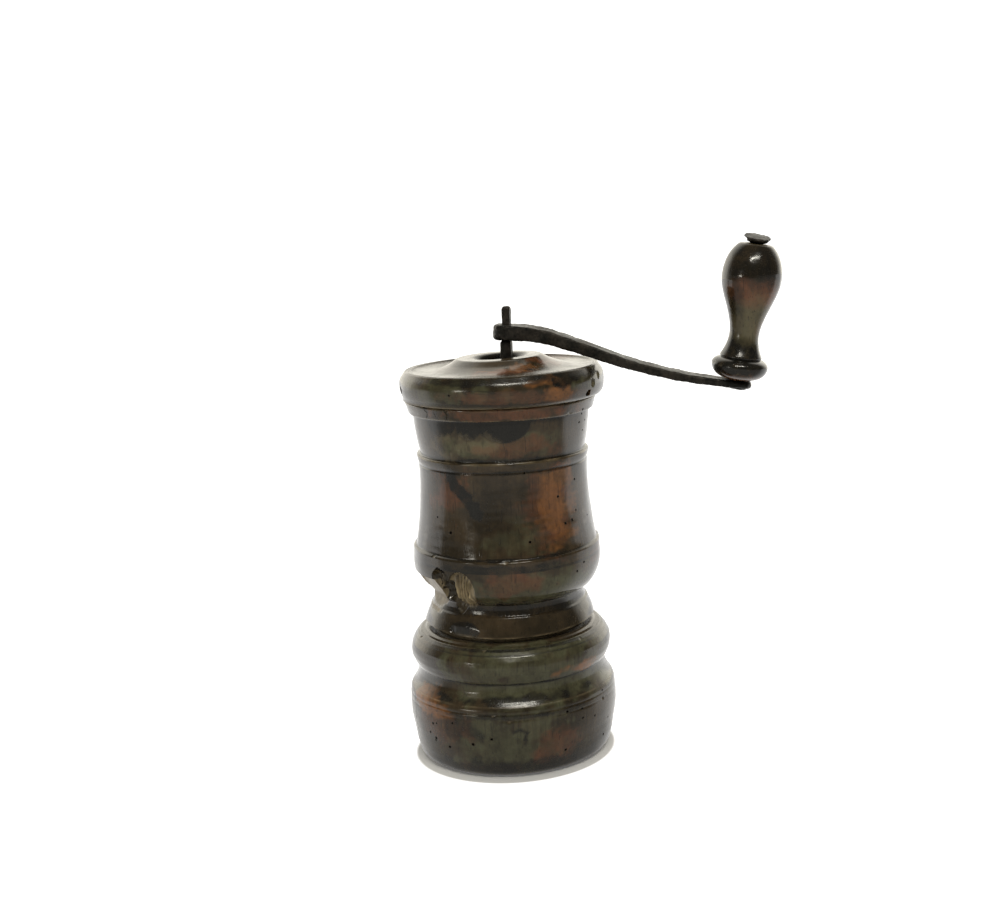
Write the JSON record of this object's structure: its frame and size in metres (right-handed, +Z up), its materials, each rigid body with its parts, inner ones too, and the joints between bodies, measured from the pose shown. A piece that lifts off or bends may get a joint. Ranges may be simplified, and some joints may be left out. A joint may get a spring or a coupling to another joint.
{
  "type": "manual coffee grinder",
  "caption": "Turned wooden hand coffee grinder with a lift-off receiver cup, hopper and lid, iron burrs inside, and a curved forged crank with a wooden knob.",
  "frame": {"origin": "centre of the flat foot that the grinder stands on", "axes": "+Z up along the spindle, +X along the crank at rest, +Y across"},
  "size_m": [0.149, 0.0812, 0.1995],
  "materials": {
    "cup_wood": "aged dark varnish, olive-brown",
    "hopper_wood": "aged dark varnish, red-brown",
    "lid_wood": "aged dark varnish, polished by use",
    "knob_wood": "dark polished varnish",
    "forged_iron": "forged, dark with brown rust",
    "screw_iron": "dull filed iron"
  },
  "bodies": {
    "cup": {"receiver_cup": "cup_wood"},
    "hopper": {"hopper_body": "hopper_wood", "upper_bridge": "forged_iron", "upper_bridge_screws": "screw_iron", "burr_ring": "forged_iron", "burr_ring_screws": "screw_iron", "lower_bridge": "forged_iron", "lower_bridge_screws": "screw_iron", "lock_nut": "forged_iron"},
    "lid": {"lid": "lid_wood"},
    "spindle": {"spindle": "forged_iron", "burr_cone": "forged_iron", "burr_cone_pin": "screw_iron"},
    "crank": {"crank_arm": "forged_iron", "knob_pin": "forged_iron"},
    "knob": {"crank_knob": "knob_wood"},
    "adjuster": {"adjusting_screw": "screw_iron"}
  },
  "joints": [
    {"name": "hopper_lift", "type": "slide", "parent": "cup", "child": "hopper", "axis": [0, 0, 1], "range_m": [0, 0.03]},
    {"name": "spindle_turn", "type": "hinge", "parent": "hopper", "child": "spindle", "pos_m": [0, 0, 0.1], "axis": [0, 0, 1], "continuous": true},
    {"name": "crank_lift", "type": "slide", "parent": "spindle", "child": "crank", "axis": [0, 0, 1], "range_m": [0, 0.08]},
    {"name": "lid_lift", "type": "slide", "parent": "hopper", "child": "lid", "axis": [0, 0, 1], "range_m": [0, 0.05]},
    {"name": "knob_turn", "type": "hinge", "parent": "crank", "child": "knob", "pos_m": [0.09152, 0, 0.14588], "axis": [0.1513, 0, 0.9885], "continuous": true},
    {"name": "adjuster_turn", "type": "hinge", "parent": "hopper", "child": "adjuster", "pos_m": [0, 0, 0.05], "axis": [0, 0, 1], "range_deg": [-180, 180]}
  ],
  "couplings": [
    {"joint": "lid_lift", "follows": "crank_lift", "ratio": 0.6}
  ]
}
